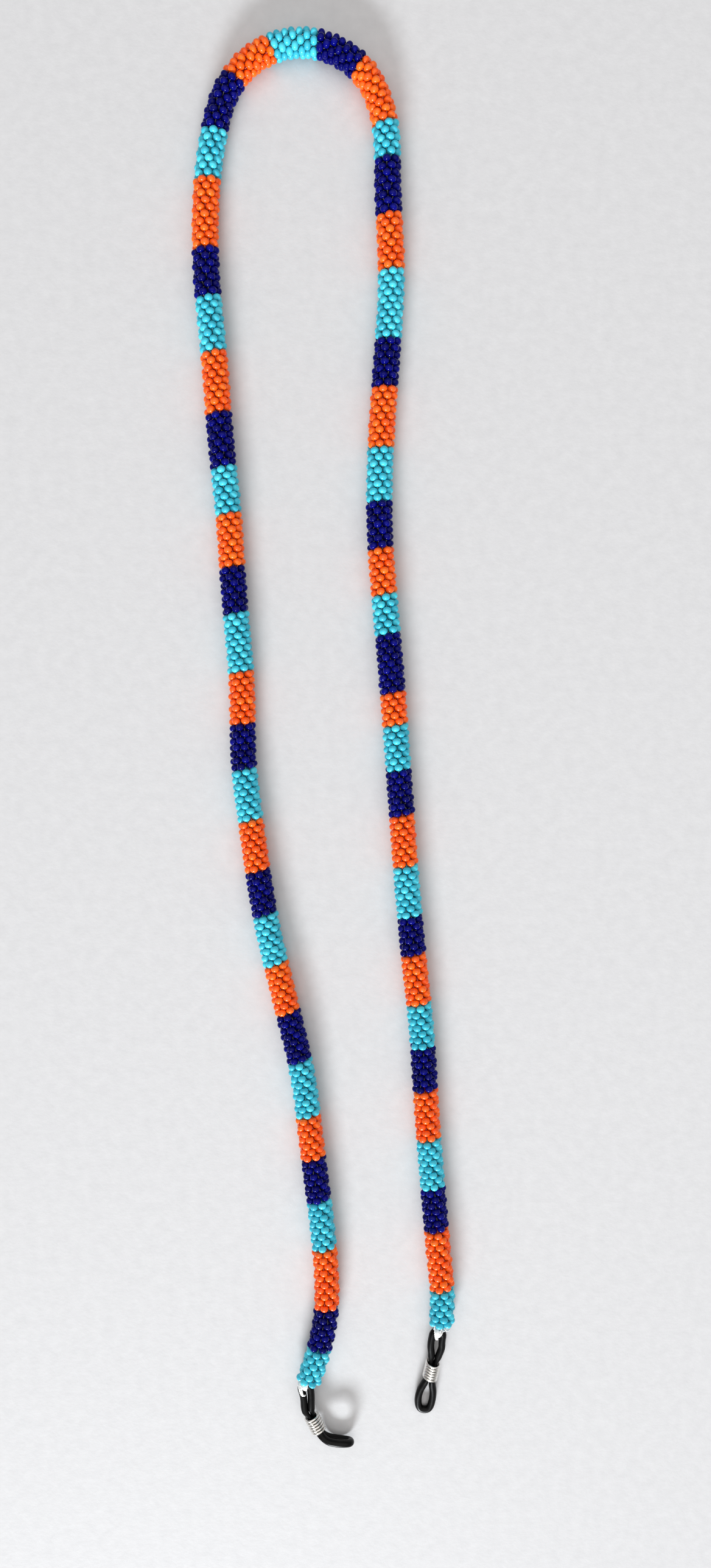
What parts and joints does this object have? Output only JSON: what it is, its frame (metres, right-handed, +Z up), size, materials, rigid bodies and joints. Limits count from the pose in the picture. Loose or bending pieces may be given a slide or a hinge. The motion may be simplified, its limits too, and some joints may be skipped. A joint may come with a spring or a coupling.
{
  "type": "eyeglass retainer strap",
  "caption": "Beaded crochet rope strap in turquoise, navy and orange bands, with a black rubber temple loop and a sliding wire coil at each end.",
  "frame": {"origin": "on the surface that the strap lies on, at the middle of the two end fittings' bounding box", "axes": "+Z up from the surface, +Y from the two ends towards the bend that goes behind the neck, +X to the right"},
  "size_m": [0.0663, 0.3581, 0.0068],
  "materials": {
    "turquoise_glass": "opaque turquoise glass seed beads, glossy",
    "navy_glass": "opaque navy blue glass seed beads, glossy",
    "orange_glass": "opaque orange glass seed beads, glossy",
    "crochet_thread": "twisted off-white crochet thread",
    "tie_thread": "white sewing thread, several turns",
    "black_rubber": "smooth black rubber cord, semi-gloss",
    "bright_wire": "bright plated steel wire, close-wound"
  },
  "bodies": {
    "rope": {"crochet_thread_core": "crochet_thread", "turquoise_beads_left_lower": "turquoise_glass", "navy_beads_left_lower": "navy_glass", "orange_beads_left_lower": "orange_glass", "turquoise_beads_left_middle": "turquoise_glass", "navy_beads_left_middle": "navy_glass", "orange_beads_left_middle": "orange_glass", "turquoise_beads_left_upper": "turquoise_glass", "navy_beads_left_upper": "navy_glass", "orange_beads_left_upper": "orange_glass", "turquoise_beads_right_upper": "turquoise_glass", "navy_beads_right_upper": "navy_glass", "orange_beads_right_upper": "orange_glass", "turquoise_beads_right_middle": "turquoise_glass", "navy_beads_right_middle": "navy_glass", "orange_beads_right_middle": "orange_glass", "turquoise_beads_right_lower": "turquoise_glass", "navy_beads_right_lower": "navy_glass", "orange_beads_right_lower": "orange_glass"},
    "left_tie": {"left_thread_tie": "tie_thread"},
    "left_loop": {"left_rubber_temple_loop": "black_rubber"},
    "left_coil": {"left_wire_coil": "bright_wire"},
    "right_tie": {"right_thread_tie": "tie_thread"},
    "right_loop": {"right_rubber_temple_loop": "black_rubber"},
    "right_coil": {"right_wire_coil": "bright_wire"}
  },
  "joints": [
    {"name": "left_loop_tilt", "type": "hinge", "parent": "rope", "child": "left_tie", "pos_m": [-0.01764, 0.00036, 0.00348], "axis": [0.9768, 0.2139, -0.0088], "range_deg": [-40, 40]},
    {"name": "left_loop_swing", "type": "hinge", "parent": "left_tie", "child": "left_loop", "pos_m": [-0.01736, -0.00095, 0.00344], "axis": [0.0158, -0.0311, 0.9994], "range_deg": [-60, 25]},
    {"name": "left_coil_slide", "type": "slide", "parent": "left_loop", "child": "left_coil", "axis": [-0.4537, 0.8905, 0.0349], "range_m": [-0.001, 0.0015]},
    {"name": "right_loop_tilt", "type": "hinge", "parent": "rope", "child": "right_tie", "pos_m": [0.01761, 0.01524, 0.00381], "axis": [0.9816, -0.1908, 0], "range_deg": [-40, 40]},
    {"name": "right_loop_swing", "type": "hinge", "parent": "right_tie", "child": "right_loop", "pos_m": [0.01736, 0.01393, 0.00365], "axis": [-0.0229, -0.1179, 0.9928], "range_deg": [-25, 60]},
    {"name": "right_coil_slide", "type": "slide", "parent": "right_loop", "child": "right_coil", "axis": [0.1894, 0.9745, 0.1201], "range_m": [-0.001, 0.0015]}
  ]
}
